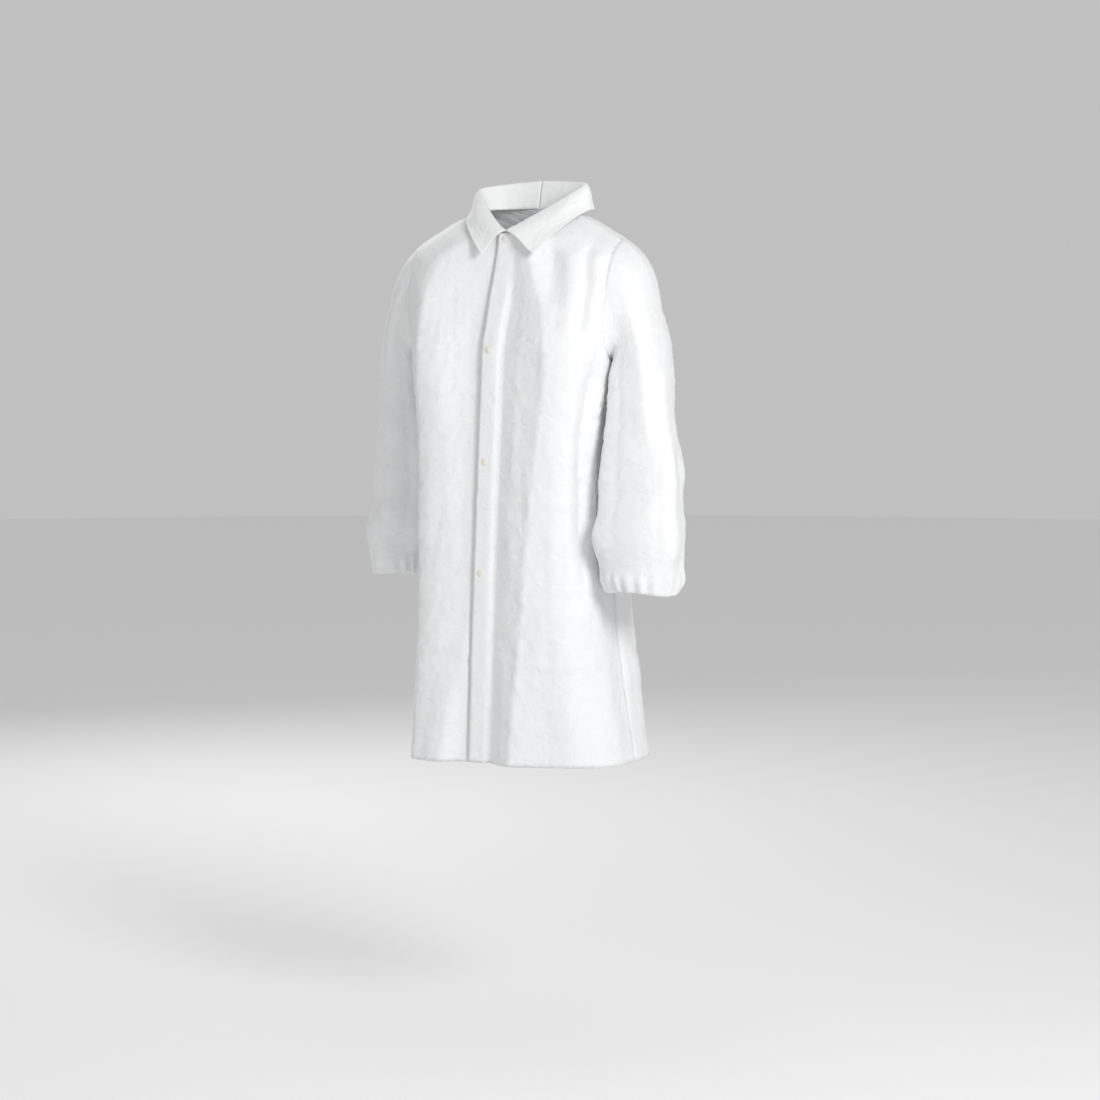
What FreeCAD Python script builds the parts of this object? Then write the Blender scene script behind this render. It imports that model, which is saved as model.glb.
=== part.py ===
import FreeCAD, Part
import math
import os

import Sketcher
from FreeCAD import Placement, Rotation, Vector

# A thin non-woven visitor lab coat in its worn shape, with nobody in it.
# +Z is up, -Y is the wearer's front and +X the wearer's left. The origin is the middle of the neckline.
# Every sheet of fabric is a closed shell a little thicker than the real fabric.

os.makedirs("parts", exist_ok=True)
doc = FreeCAD.newDocument("lab_coat")

# ---------------------------------------------------------------- driving dimensions
sheet = doc.addObject("Spreadsheet::Sheet", "sizes")
DIMENSIONS = [
    ("fabric", 1.0, "thickness of one layer"),
    ("body_gap", 0.4, "gap between pieces that move apart"),
    ("layer_gap", 3.6, "space between the two fronts, which the snaps fill"),
    ("hem_drop", 915, "neckline to hem"),
    ("hem_width", 203, "half width at the hem"),
    ("hip_drop", 620, "drop of the hip outline below the neckline"),
    ("hip_width", 163, "half width at the hip"),
    ("waist_drop", 420, "drop of the waist outline below the neckline"),
    ("waist_width", 160, "half width at the waist"),
    ("chest_drop", 215, "drop of the chest outline below the neckline"),
    ("chest_width", 181, "half width at the chest"),
    ("body_depth", 122, "half depth from the chest down"),
    ("body_corner", 86, "corner radius of the body in plan"),
    ("shoulder_drop", 85, "drop of the shoulder outline below the neckline"),
    ("shoulder_width", 198, "half width at the shoulder"),
    ("shoulder_depth", 72, "half depth at the shoulder"),
    ("neck_width", 72, "half width at the neck"),
    ("neck_corner", 60, ""),
    ("neck_front_drop", 40, "drop of the neckline at the front"),
    ("armhole_side", 178, "plane where the sleeves join the body"),
    ("armhole_foot", 256, "drop of the underarm point"),
    ("front_edge", 14, "placket centre line to the front edge"),
    ("facing_reach", 16, "placket centre line to the facing's inner edge"),
    ("placket_reach", 42, "placket centre line to the end of the raised layer"),
    ("placket_top", 6.7, "side offset of the placket line at the neckline"),
    ("placket_slant", 2.4, "degrees, the placket swings to the wearer's right"),
    ("opening_top", 56, "half width of the swinging front at the neckline"),
    ("opening_slant", 5.4, "degrees, the swinging front widens downwards"),
    ("opening_back", 45, "the swinging front reaches back to here at the neck"),
    ("opening_gap", 3, "gap beside the swinging front"),
    ("roll_width", 82, "collar roll line, half width"),
    ("roll_back", 66, "collar roll line, reach to the back"),
    ("roll_top", 50, "collar roll line, height at the back"),
    ("roll_side", 36, "collar roll line, height at the side"),
    ("roll_front", 80, "collar roll line, reach to the front"),
    ("roll_front_drop", 36, "collar roll line, drop at the front"),
    ("leaf_width", 110, "collar outer edge, half width"),
    ("leaf_back", 92, "collar outer edge, reach to the back"),
    ("leaf_back_drop", -6, "collar outer edge, drop at the back"),
    ("leaf_side_drop", 1, "collar outer edge, drop at the side"),
    ("leaf_front", 108, "collar outer edge, reach to the front"),
    ("leaf_front_drop", 80, "collar outer edge, drop at the points"),
    ("leaf_front_slant", 32, "degrees, slope of the collar's front edges"),
    ("collar_corner", 60, "plan radius of the collar's outlines"),
    ("collar_start", 8, "side offset of the collar's front corners"),
    ("leaf_overhang", 9, "reach of the swinging collar point past the swinging front"),
    ("collar_bite", 3, "drop of the collar's front corners below the roll line"),
    ("cap_radius", 6.25, "snap cap"),
    ("cap_rise", 2.2, ""),
    ("ring_radius", 5.6, "snap socket and stud disc"),
    ("socket_bore", 2.5, ""),
    ("socket_rise", 2.2, ""),
    ("stud_disc", 1.0, ""),
    ("stud_head", 1.9, ""),
    ("stud_radius", 2.0, ""),
    ("post_radius", 1.4, ""),
    ("post_hole", 1.5, ""),
    ("snap_first", 52, "drop of the top snap"),
    ("snap_second", 233, "drop of the second snap"),
    ("snap_pitch", 183.5, "spacing of the lower snaps"),
    ("wrist_radius", 33, "inside of the elastic cuff"),
    ("cuff_rise", 12, "height of the elastic casing"),
    ("casing_reach", 37, "outside radius of the casing's lips"),
    ("elastic_inner", 34.2, ""),
    ("elastic_outer", 35.6, ""),
    ("elastic_rise", 9, ""),
    ("sleeve_end", 612, "drop of the sleeve's end"),
]
for row, (alias, value, note) in enumerate(DIMENSIONS, start=1):
    sheet.set(f"A{row}", note)
    sheet.set(f"B{row}", str(value))
    sheet.setAlias(f"B{row}", alias)
doc.recompute()

UP = Vector(0, 0, 1)
AXIS_X = Vector(1, 0, 0)
AXIS_Y = Vector(0, 1, 0)
pieces = []


def bind(obj, prop, formula):
    """Binds a property to a formula in which the sheet's aliases are words starting with a dollar sign."""
    obj.setExpression(prop, formula.replace("$", "sizes."))


def number(formula):
    return float(sheet.evalExpression(formula.replace("$", "")))


def node(obj, label):
    """Marks an object as a finished piece of the coat."""
    obj.Label = label
    pieces.append(obj)
    return obj


def place(obj, x="0", y="0", z="0", axis=UP, angle="0"):
    obj.Placement = Placement(Vector(0, 0, 0), Rotation(axis, 10))
    for letter, formula in zip("xyz", (x, y, z)):
        bind(obj, f"Placement.Base.{letter}", formula)
    bind(obj, "Placement.Rotation.Angle", angle)
    return obj


# ---------------------------------------------------------------- plain tools
def rounded_section(name, half_width, half_depth, corner):
    """A rounded rectangle about the sketch's origin, with its sizes bound to formulas."""
    sketch = doc.addObject("Sketcher::SketchObject", name)
    wide, deep, radius = number(half_width), number(half_depth), number(corner)
    flat_x, flat_y = wide - radius, deep - radius
    corners = [(flat_x, -flat_y), (flat_x, flat_y), (-flat_x, flat_y), (-flat_x, -flat_y)]
    ends = [
        ((-flat_x, -deep), (flat_x, -deep)),
        ((wide, -flat_y), (wide, flat_y)),
        ((flat_x, deep), (-flat_x, deep)),
        ((-wide, flat_y), (-wide, -flat_y)),
    ]
    for turn, (centre, (start, end)) in enumerate(zip(corners, ends)):
        sketch.addGeometry(Part.LineSegment(Vector(*start, 0), Vector(*end, 0)))
        circle = Part.Circle(Vector(*centre, 0), UP, radius)
        first = math.radians(90 * turn - 90)
        sketch.addGeometry(Part.ArcOfCircle(circle, first, first + math.pi / 2))
    for item in range(8):
        sketch.addConstraint(Sketcher.Constraint("Tangent", item, 2, (item + 1) % 8, 1))
    for item, kind in ((0, "Horizontal"), (2, "Vertical"), (4, "Horizontal"), (6, "Vertical")):
        sketch.addConstraint(Sketcher.Constraint(kind, item))
    for item in (3, 5, 7):
        sketch.addConstraint(Sketcher.Constraint("Equal", 1, item))
    measures = [
        (Sketcher.Constraint("Radius", 1, radius), corner),
        (Sketcher.Constraint("DistanceX", -1, 1, 2, 1, wide), half_width),
        (Sketcher.Constraint("DistanceX", 6, 1, -1, 1, wide), half_width),
        (Sketcher.Constraint("DistanceY", 0, 1, -1, 1, deep), half_depth),
        (Sketcher.Constraint("DistanceY", -1, 1, 4, 1, deep), half_depth),
    ]
    for constraint, formula in measures:
        index = sketch.addConstraint(constraint)
        bind(sketch, f"Constraints[{index}]", formula)
    return sketch


def loft(name, sections):
    solid = doc.addObject("Part::Loft", name)
    solid.Sections = sections
    solid.Solid = True
    solid.Ruled = True
    return solid


def boolean(kind, name, base, tool):
    result = doc.addObject(kind, name)
    result.Base = base
    result.Tool = tool
    return result


def cut(name, base, tool):
    return boolean("Part::Cut", name, base, tool)


def common(name, base, tool):
    return boolean("Part::Common", name, base, tool)


def fuse(name, shapes):
    result = doc.addObject("Part::MultiFuse", name)
    result.Shapes = shapes
    return result


def zone(name, low, high):
    """A box between two corners whose coordinates are formulas in its own frame; it may then be placed."""
    box = doc.addObject("Part::Wedge", name)
    for letter, start, end in zip("XYZ", low, high):
        bind(box, letter + "min", start)
        bind(box, letter + "max", end)
        if letter != "Y":
            bind(box, letter + "2min", start)
            bind(box, letter + "2max", end)
    return box


def lathe(label, outline, dome=False):
    """A turned PartDesign body about its own Z. The outline lists radius and height formulas, and a
    radius of 0 lies on the axis. With dome, the last stretch up to the axis is an arc."""
    body = doc.addObject("PartDesign::Body", "turned_" + label)
    sketch = body.newObject("Sketcher::SketchObject", "outline_" + label)
    side = [part for part in body.Origin.OriginFeatures if part.Role == "XZ_Plane"][0]
    sketch.AttachmentSupport = [(side, "")]
    sketch.MapMode = "FlatFace"
    points = [Vector(number(radius), number(height), 0) for radius, height in outline]
    count = len(points)
    for item, start in enumerate(points):
        end = points[(item + 1) % count]
        if dome and item == count - 2:
            centre = (end.y**2 - start.y**2 - start.x**2) / (2 * (end.y - start.y))
            circle = Part.Circle(Vector(0, centre, 0), UP, end.y - centre)
            first = math.atan2(start.y - centre, start.x)
            sketch.addGeometry(Part.ArcOfCircle(circle, first, math.pi / 2))
        else:
            sketch.addGeometry(Part.LineSegment(start, end))
    for item in range(count):
        sketch.addConstraint(Sketcher.Constraint("Coincident", item, 2, (item + 1) % count, 1))
    for item, (radius, height) in enumerate(outline):
        for kind, formula, value, axis in (
            ("DistanceX", radius, points[item].x, -2),
            ("DistanceY", height, points[item].y, -1),
        ):
            if formula == "0":
                sketch.addConstraint(Sketcher.Constraint("PointOnObject", item, 1, axis))
            else:
                index = sketch.addConstraint(Sketcher.Constraint(kind, -1, 1, item, 1, value))
                bind(sketch, f"Constraints[{index}]", formula)
    if dome:
        sketch.addConstraint(Sketcher.Constraint("PointOnObject", count - 2, 3, -2))
    doc.recompute()
    turn = body.newObject("PartDesign::Revolution", "turn_" + label)
    turn.Profile = sketch
    turn.ReferenceAxis = (sketch, ["V_Axis"])
    turn.Angle = 360
    return body


# ---------------------------------------------------------------- body of the coat
BODY_STATIONS = [
    # name, drop, half width, half depth, corner radius
    ("hem", "$hem_drop", "$hem_width", "$body_depth", "$body_corner"),
    ("hip", "$hip_drop", "$hip_width", "$body_depth", "$body_corner"),
    ("waist", "$waist_drop", "$waist_width", "$body_depth", "$body_corner"),
    ("chest", "$chest_drop", "$chest_width", "$body_depth", "$body_corner"),
    ("shoulder", "$shoulder_drop", "$shoulder_width", "$shoulder_depth", "$neck_corner"),
    ("neck", "0", "$neck_width", "$shoulder_depth", "$neck_corner"),
]


def body_form(name, outset):
    """The coat's body as one solid, grown by outset all round."""
    sections = []
    for station, drop, wide, deep, corner in BODY_STATIONS:
        grown = [f"{size} + ({outset})" for size in (wide, deep, corner)]
        sketch = rounded_section(f"{name}_{station}", *grown)
        sections.append(place(sketch, z=f"-({drop})"))
    return loft(name, sections)


def body_layer(name, outer, inner):
    """One layer of fabric between two forms, open at the neck and the hem."""
    return cut(name, outer, inner)


surface = body_form("surface", "0")
lining = body_form("lining", "-$fabric")
facing_lining = body_form("facing_lining", "-2 * $fabric")
raised_inner = body_form("raised_inner", "$layer_gap")
raised_middle = body_form("raised_middle", "$layer_gap + $fabric")
raised_outer = body_form("raised_outer", "$layer_gap + 2 * $fabric")

WIDE, TALL = "700", "1400"
LOW = "-" + TALL

neckline = zone(
    "neckline", ("-$roll_width - 2", "-" + WIDE, "0"), ("$roll_width + 2", "0", WIDE)
)
place(neckline, axis=AXIS_X, angle="atan($neck_front_drop / $shoulder_depth)")
armholes = fuse(
    "armholes",
    [
        zone("armhole_left", ("$armhole_side", "-" + WIDE, "-$armhole_foot"), (WIDE, WIDE, WIDE)),
        zone("armhole_right", ("-" + WIDE, "-" + WIDE, "-$armhole_foot"), ("-$armhole_side", WIDE, WIDE)),
    ],
)
post_holes = []
for item in range(4):
    drill = doc.addObject("Part::Cylinder", f"post_hole_{item + 1}")
    bind(drill, "Radius", "$post_hole")
    bind(drill, "Height", WIDE)
    drop = "$snap_first" if item == 0 else f"$snap_second + {item - 1} * $snap_pitch"
    place(drill, x=f"$placket_top - ({drop}) * tan($placket_slant)", z=f"-({drop})", axis=AXIS_X, angle="90")
    post_holes.append(drill)
openings = fuse("openings", [neckline, armholes])
posts = fuse("posts", post_holes)


def placket_zone(name, low_x, high_x):
    """A strip of the front that follows the slanted placket line."""
    strip = zone(name, (low_x, "-" + WIDE, LOW), (high_x, "-1", WIDE))
    return place(strip, x="$placket_top", axis=AXIS_Y, angle="$placket_slant")


body_sheet = body_layer("body_sheet", surface, lining)
body_open = cut("body_open", body_sheet, openings)

half_gap = "$body_gap / 2"
back_zone = zone("back_zone", ("-" + WIDE, half_gap, LOW), (WIDE, WIDE, WIDE))
node(common("back", body_open, back_zone), "back_panel")

SIDES = {"left": 1, "right": -1}


def side_zone(name, side, low_x, high_x, high_y):
    """A box on the front of one side of the coat, from low_x to high_x outwards from the middle."""
    low, high = (low_x, high_x) if side == 1 else (f"-({high_x})", f"-({low_x})")
    return zone(name, (low, "-" + WIDE, LOW), (high, high_y, WIDE))


def opening_zone(name, side, margin):
    """The part of the front that swings when the coat is opened, grown by margin."""
    wedge = side_zone(name, side, "-" + WIDE, f"{margin}", f"-$opening_back + {margin}")
    return place(
        wedge, x=f"{side} * $opening_top", axis=AXIS_Y, angle=f"{-side} * $opening_slant"
    )


left_reach = placket_zone("left_reach", "$front_edge + $body_gap", WIDE)
right_reach = placket_zone("right_reach", "-" + WIDE, "$front_edge")
under_edge = {1: left_reach, -1: right_reach}

for label, side in SIDES.items():
    swinging = opening_zone(f"{label}_opening", side, "0")
    kept_clear = opening_zone(f"{label}_clear", side, "$opening_gap")
    half = side_zone(f"{label}_half", side, "0", WIDE, f"-({half_gap})")
    half_sheet = common(f"{label}_half_sheet", body_open, half)
    node(cut(f"{label}_side", half_sheet, kept_clear), f"{label}_front_side")
    reach = common(f"{label}_swing", swinging, under_edge[side])
    front = common(f"{label}_front_sheet", body_open, reach)
    if side == 1:
        raised = common(
            "raised_strip",
            cut("raised_layer", raised_outer, raised_middle),
            placket_zone("raised_zone", "-$front_edge", "$placket_reach"),
        )
        bridge = common(
            "bridge_strip",
            cut("bridge_layer", raised_middle, lining),
            placket_zone("bridge_zone", "$facing_reach + $body_gap", "$placket_reach"),
        )
        whole = fuse("left_whole", [front, raised, bridge])
        front = cut("left_trimmed", whole, neckline)
    node(cut(f"{label}_front_cut", front, posts), f"{label}_front_flap")
    outer, inner = (raised_middle, raised_inner) if side == 1 else (lining, facing_lining)
    limits = ["-$front_edge", "$facing_reach"] if side == 1 else ["-$facing_reach", "$front_edge"]
    layer = cut(f"{label}_facing_layer", outer, inner)
    strip = common(f"{label}_facing_strip", layer, placket_zone(f"{label}_facing_zone", *limits))
    trimmed = cut(f"{label}_facing_trimmed", strip, neckline)
    node(cut(f"{label}_facing", trimmed, posts), f"{label}_front_facing")


# ---------------------------------------------------------------- collar
def tilted_ring(name, outset, wide, reach, rise, fall):
    """A collar outline: level across, through (side, rise) and down to fall below zero at reach.
    It leans about the line where the front and back of the collar meet."""
    slope = f"({rise} + {fall}) / ({reach})"
    length = f"sqrt(({reach})^2 + ({rise} + {fall})^2)"
    ring = rounded_section(
        name, f"{wide} + {outset}", f"{length} + {outset}", f"$collar_corner + {outset}"
    )
    return place(ring, z=rise, axis=AXIS_X, angle=f"atan({slope})")


COLLAR_HALVES = {
    # name: (direction of y, roll line reach and drop, outer edge reach and drop)
    "back": (1, ("$roll_back", "-$roll_top"), ("$leaf_back", "$leaf_back_drop")),
    "front": (-1, ("$roll_front", "$roll_front_drop"), ("$leaf_front", "$leaf_front_drop")),
}
collar_sheets = {}
for half, (way, (roll_reach, roll_fall), (leaf_reach, leaf_fall)) in COLLAR_HALVES.items():
    stand_fall = "$neck_front_drop - 4" if way == -1 else "0"
    forms = {}
    for layer, outset in (("over", "0"), ("under", "-$fabric")):
        rings = {
            "roll": ("$roll_width", roll_reach, "$roll_side", roll_fall),
            "leaf": ("$leaf_width", leaf_reach, "-$leaf_side_drop", leaf_fall),
            "root": ("$neck_width - 2", "$shoulder_depth - 2", "0.5", stand_fall),
        }
        made = {}
        for ring, sizes in rings.items():
            sketch = tilted_ring(f"{half}_{layer}_{ring}", outset, *sizes)
            if way == 1:
                base, fall = sizes[2], sizes[3]
                bind(sketch, "Placement.Rotation.Angle", f"-atan(({base} + {fall}) / ({sizes[1]}))")
            made[ring] = sketch
        forms[layer, "fall"] = loft(f"{half}_{layer}_fall", [made["leaf"], made["roll"]])
        forms[layer, "stand"] = loft(f"{half}_{layer}_stand", [made["root"], made["roll"]])
    fall = cut(f"{half}_fall", forms["over", "fall"], forms["under", "fall"])
    stand = cut(f"{half}_stand", forms["over", "stand"], forms["under", "stand"])
    collar_sheets[half] = fuse(f"{half}_collar", [fall, stand])

behind = zone("collar_behind", ("-" + WIDE, "0", LOW), (WIDE, WIDE, WIDE))
rear = common("collar_rear", collar_sheets["back"], behind)
resting_form = cut("resting_form", body_form("collar_bed", "2 * $body_gap"), neckline)
collar_parts = [rear]
for label, side in SIDES.items():
    ahead = side_zone(f"{label}_ahead", side, "$collar_start", WIDE, "0")
    half = common(f"{label}_collar_half", collar_sheets["front"], ahead)
    resting = cut(f"{label}_collar_resting", half, resting_form)
    leaf_clear = opening_zone(f"{label}_leaf_clear", side, "$leaf_overhang + $opening_gap")
    collar_parts.append(cut(f"{label}_collar_side", resting, leaf_clear))
    leaf_zone = opening_zone(f"{label}_leaf_zone", side, "$leaf_overhang")
    leaf = common(f"{label}_leaf_whole", resting, leaf_zone)
    below = side_zone(f"{label}_point_cut", side, "-" + WIDE, WIDE, "0")
    bind(below, "Zmax", "0")
    bind(below, "Z2max", "0")
    place(
        below,
        x=f"{side} * $collar_start",
        z="-$roll_front_drop - $collar_bite",
        axis=AXIS_Y,
        angle=f"{side} * $leaf_front_slant",
    )
    node(cut(f"{label}_leaf", leaf, below), f"{label}_collar_leaf")
node(fuse("collar_whole", collar_parts), "collar")

# ---------------------------------------------------------------- sleeves
SLEEVE_STATIONS = [
    # side offset, drop, share of the cuff's forward place, lean in degrees, half width, half depth
    ("$armhole_side + $body_gap", "162", 0.0, 0, "86", "60"),
    ("223", "230", 0.1, 45, "52", "62"),
    ("233", "330", 0.4, 84, "51", "58"),
    ("238", "470", 0.8, 88, "62", "56"),
    ("$cuff_side", "$sleeve_end", 1.0, 90, "63", "55"),
]
CUFFS = {"left": ("240", "-62"), "right": ("236", "30")}


def sleeve_form(name, side, cuff, outset, tail):
    """A sleeve as one solid from the armhole plane to the cuff, grown by outset and cut short by tail."""
    cuff_side, cuff_reach = cuff
    sections = []
    for item, (x, drop, share, lean, wide, deep) in enumerate(SLEEVE_STATIONS):
        x = x.replace("$cuff_side", cuff_side)
        corner = f"min({wide}; {deep}) - 4 + {outset}"
        sketch = rounded_section(f"{name}_{item}", f"{wide} + {outset}", f"{deep} + {outset}", corner)
        last = item == len(SLEEVE_STATIONS) - 1
        first_shift = f" - {tail}" if item == 0 else ""
        last_shift = f" + {tail}" if last else ""
        place(
            sketch,
            x=f"{side} * ({x}{first_shift})",
            y=f"{share} * ({cuff_reach})",
            z=f"-({drop}){last_shift}",
            axis=AXIS_Y,
            angle=f"{side} * {90 + lean}",
        )
        sections.append(sketch)
    return loft(name, sections)


for label, side in SIDES.items():
    cuff = CUFFS[label]
    outer = sleeve_form(f"{label}_sleeve_outer", side, cuff, "0", "0")
    inner = sleeve_form(f"{label}_sleeve_inner", side, cuff, "(-$fabric)", "$fabric")
    tube = cut(f"{label}_sleeve_tube", outer, inner)
    wrist = doc.addObject("Part::Cylinder", f"{label}_wrist_hole")
    bind(wrist, "Radius", "$wrist_radius + 1.5")
    bind(wrist, "Height", "10")
    place(wrist, x=f"{side} * {cuff[0]}", y=cuff[1], z="-$sleeve_end - 5")
    node(cut(f"{label}_sleeve_cut", tube, wrist), f"{label}_sleeve")

    casing = lathe(
        f"{label}_casing",
        [
            ("$wrist_radius", "0"),
            ("$casing_reach", "0"),
            ("$casing_reach", "$fabric"),
            ("$wrist_radius + $fabric", "$fabric"),
            ("$wrist_radius + $fabric", "$cuff_rise - $fabric"),
            ("$casing_reach", "$cuff_rise - $fabric"),
            ("$casing_reach", "$cuff_rise"),
            ("$wrist_radius", "$cuff_rise"),
        ],
    )
    place(casing, x=f"{side} * {cuff[0]}", y=cuff[1], z="-$sleeve_end + $fabric")
    node(casing, f"{label}_cuff_casing")
    elastic = lathe(
        f"{label}_elastic",
        [
            ("$elastic_inner", "0"),
            ("$elastic_outer", "0"),
            ("$elastic_outer", "$elastic_rise"),
            ("$elastic_inner", "$elastic_rise"),
        ],
    )
    place(elastic, x=f"{side} * {cuff[0]}", y=cuff[1], z="-$sleeve_end + 2 * $fabric")
    node(elastic, f"{label}_cuff_elastic")

# ---------------------------------------------------------------- press snaps
SNAP_PIECES = {
    # name: (outline, domed, distance of its own zero in front of the coat's surface)
    "cap": (
        [
            ("0", "0"),
            ("$post_radius", "0"),
            ("$post_radius", "2 * $fabric"),
            ("$cap_radius", "2 * $fabric"),
            ("$cap_radius", "2 * $fabric + 0.7"),
            ("0", "2 * $fabric + $cap_rise"),
        ],
        True,
        "$layer_gap",
    ),
    "socket": (
        [
            ("$socket_bore", "0"),
            ("$ring_radius", "0"),
            ("$ring_radius", "$socket_rise"),
            ("$socket_bore", "$socket_rise"),
        ],
        False,
        "$layer_gap - $socket_rise",
    ),
    "stud": (
        [
            ("0", "0"),
            ("$post_radius", "0"),
            ("$post_radius", "2 * $fabric"),
            ("$ring_radius", "2 * $fabric"),
            ("$ring_radius", "2 * $fabric + $stud_disc"),
            ("$stud_radius", "2 * $fabric + $stud_disc"),
            ("$stud_radius", "2 * $fabric + $stud_disc + $stud_head"),
            ("0", "2 * $fabric + $stud_disc + $stud_head"),
        ],
        False,
        "-2 * $fabric",
    ),
    "back": (
        [("0", "0"), ("$cap_radius - 1", "0"), ("$cap_radius", "0.5"), ("$cap_radius", "1"), ("0", "1")],
        False,
        "-2 * $fabric - 1",
    ),
}
for item in range(4):
    drop = "$snap_first" if item == 0 else f"$snap_second + {item - 1} * $snap_pitch"
    depth = "$shoulder_depth" if item == 0 else "$body_depth"
    for kind, (outline, domed, ahead) in SNAP_PIECES.items():
        label = f"snap_{item + 1}_{kind}"
        turned = lathe(label, outline, domed)
        place(
            turned,
            x=f"$placket_top - ({drop}) * tan($placket_slant)",
            y=f"-({depth}) - ({ahead})",
            z=f"-({drop})",
            axis=AXIS_X,
            angle="90",
        )
        node(turned, label)

# ---------------------------------------------------------------- check and export
doc.recompute()
for obj in doc.Objects:
    if "Invalid" in obj.State or "Error" in obj.State:
        raise RuntimeError(f"{obj.Name} failed: {obj.State}")
for piece in pieces:
    shape = piece.Shape
    if shape.isNull() or not shape.isValid() or not shape.Solids:
        raise RuntimeError(f"{piece.Label} has no valid solid")
    box = shape.BoundBox
    print(
        f"{piece.Label}: {len(shape.Solids)} solid, {shape.Volume / 1000:.1f} cm3,"
        f" x {box.XMin:.0f}..{box.XMax:.0f} y {box.YMin:.0f}..{box.YMax:.0f} z {box.ZMin:.0f}..{box.ZMax:.0f}"
    )
    shape.exportStep(f"parts/{piece.Label}.step")
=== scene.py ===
import math

import bmesh
import bpy
import numpy as np
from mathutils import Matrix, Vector


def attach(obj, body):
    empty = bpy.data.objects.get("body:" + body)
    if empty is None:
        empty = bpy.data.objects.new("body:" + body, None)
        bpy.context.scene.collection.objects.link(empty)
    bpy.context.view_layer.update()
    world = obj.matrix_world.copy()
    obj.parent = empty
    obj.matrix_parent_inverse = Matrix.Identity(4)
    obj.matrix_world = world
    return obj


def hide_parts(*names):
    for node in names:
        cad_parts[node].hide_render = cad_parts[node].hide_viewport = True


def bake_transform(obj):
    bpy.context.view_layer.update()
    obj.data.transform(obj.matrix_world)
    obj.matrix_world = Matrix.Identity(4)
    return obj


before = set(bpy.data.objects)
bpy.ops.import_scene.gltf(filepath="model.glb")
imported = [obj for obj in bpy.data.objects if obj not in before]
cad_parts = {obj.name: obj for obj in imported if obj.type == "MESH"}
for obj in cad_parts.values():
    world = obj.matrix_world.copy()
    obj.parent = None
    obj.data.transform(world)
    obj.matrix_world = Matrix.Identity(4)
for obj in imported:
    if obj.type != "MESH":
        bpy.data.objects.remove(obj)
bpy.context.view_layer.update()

# The visual model of a thin non-woven visitor lab coat in its worn shape.
# Metres; the origin is the middle of the neckline, -Y is the wearer's front and +X the wearer's left.
# "drop" is the distance below the neckline, and a side of 1 is the wearer's left, -1 the right.

# ---------------------------------------------------------------- driving sizes
FABRIC = 0.0005  # shown thickness of one layer
HEM_DROP = 0.915
ARMHOLE_SIDE = 0.178  # the sleeves start in this plane
ARMHOLE_DROP = 0.156  # middle of the armhole
UNDERARM_DROP = 0.300  # nothing below here is cut by the armhole plane
PLACKET_TOP = 0.0067  # side offset of the placket line at the neckline
PLACKET_LEAN = -0.0419  # side offset gained per metre of drop
FRONT_EDGE = 0.014  # placket line to the front edge
FACING = 0.030  # width of the doubled edge
EDGE_RISE = 0.0013  # the doubled edge stands this far out
LIFT = 0.0056  # the left front stands this far in front of the right one at the placket
LIFT_REACH = (0.030, 0.100)  # distance from the placket line over which that fades
SIDES = {"left": 1, "right": -1}
ROWS, UPPER_ROWS, UPPER_DROP = 150, 62, 0.235  # rows of a body panel, and how many lie above a drop
FRONT_COLUMNS = 56
BACK_COLUMNS = 84
ARM_COLUMNS, ARM_ROWS = 96, 92
FULL_TURN = 2 * math.pi


def curve(points):
    """A smooth function through (x, y) points that never overshoots them."""
    xs, ys = (np.array(column, dtype=float) for column in zip(*points))
    slopes = np.diff(ys) / np.diff(xs)
    tangents = np.zeros(len(xs))
    tangents[0], tangents[-1] = slopes[0], slopes[-1]
    for i in range(1, len(xs) - 1):
        before, after = slopes[i - 1], slopes[i]
        if before * after > 0:
            tangents[i] = 2 * before * after / (before + after)

    def value(x):
        x = np.clip(x, xs[0], xs[-1])
        i = np.clip(np.searchsorted(xs, x, side="right") - 1, 0, len(xs) - 2)
        step = xs[i + 1] - xs[i]
        s = (x - xs[i]) / step
        return (
            (1 + 2 * s) * (1 - s) ** 2 * ys[i]
            + s * (1 - s) ** 2 * step * tangents[i]
            + s * s * (3 - 2 * s) * ys[i + 1]
            + s * s * (s - 1) * step * tangents[i + 1]
        )

    return value


def smooth(low, high, x):
    s = np.clip((x - low) / (high - low), 0, 1)
    return s * s * (3 - 2 * s)


def tent(distance, width, rounding):
    """1 on a fold's line and 0 at its width, with a rounded crest and a soft foot."""
    eased = np.sqrt(distance**2 + rounding**2) - rounding
    return np.clip(1 - eased / width, 0, 1) ** 1.12


def ripples(seed, count, u_rate, v_rate):
    """A repeatable field of small waves over (u, v)."""
    rng = np.random.default_rng(seed)
    waves = [
        (rng.normal(0, u_rate), rng.normal(0, v_rate), rng.uniform(0, FULL_TURN), rng.uniform(0.5, 1))
        for _ in range(count)
    ]

    def value(u, v):
        total = sum(size * np.sin(a * u + b * v + phase) for a, b, phase, size in waves)
        return total / math.sqrt(count)

    return value


def crinkles(seed, count, rate):
    """A repeatable field over (u, v) of flat facets between sharp creases, as thin non-woven cloth takes."""
    rng = np.random.default_rng(seed)
    facets = []
    for _ in range(count):
        way = rng.uniform(0, math.pi)
        speed, phase = rate * rng.uniform(0.6, 1.6), rng.uniform(0, FULL_TURN)
        facets.append((math.cos(way), math.sin(way), speed, phase))

    def value(u, v):
        total = 0
        for a, b, speed, phase in facets:
            bend = 0.7 * np.sin(speed * 0.45 * (b * u - a * v) + 2 * phase)
            total = total + np.arcsin(np.sin(speed * (a * u + b * v) + bend + phase)) / 1.57  # 1 at most
        return total / math.sqrt(count)

    return value


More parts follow.
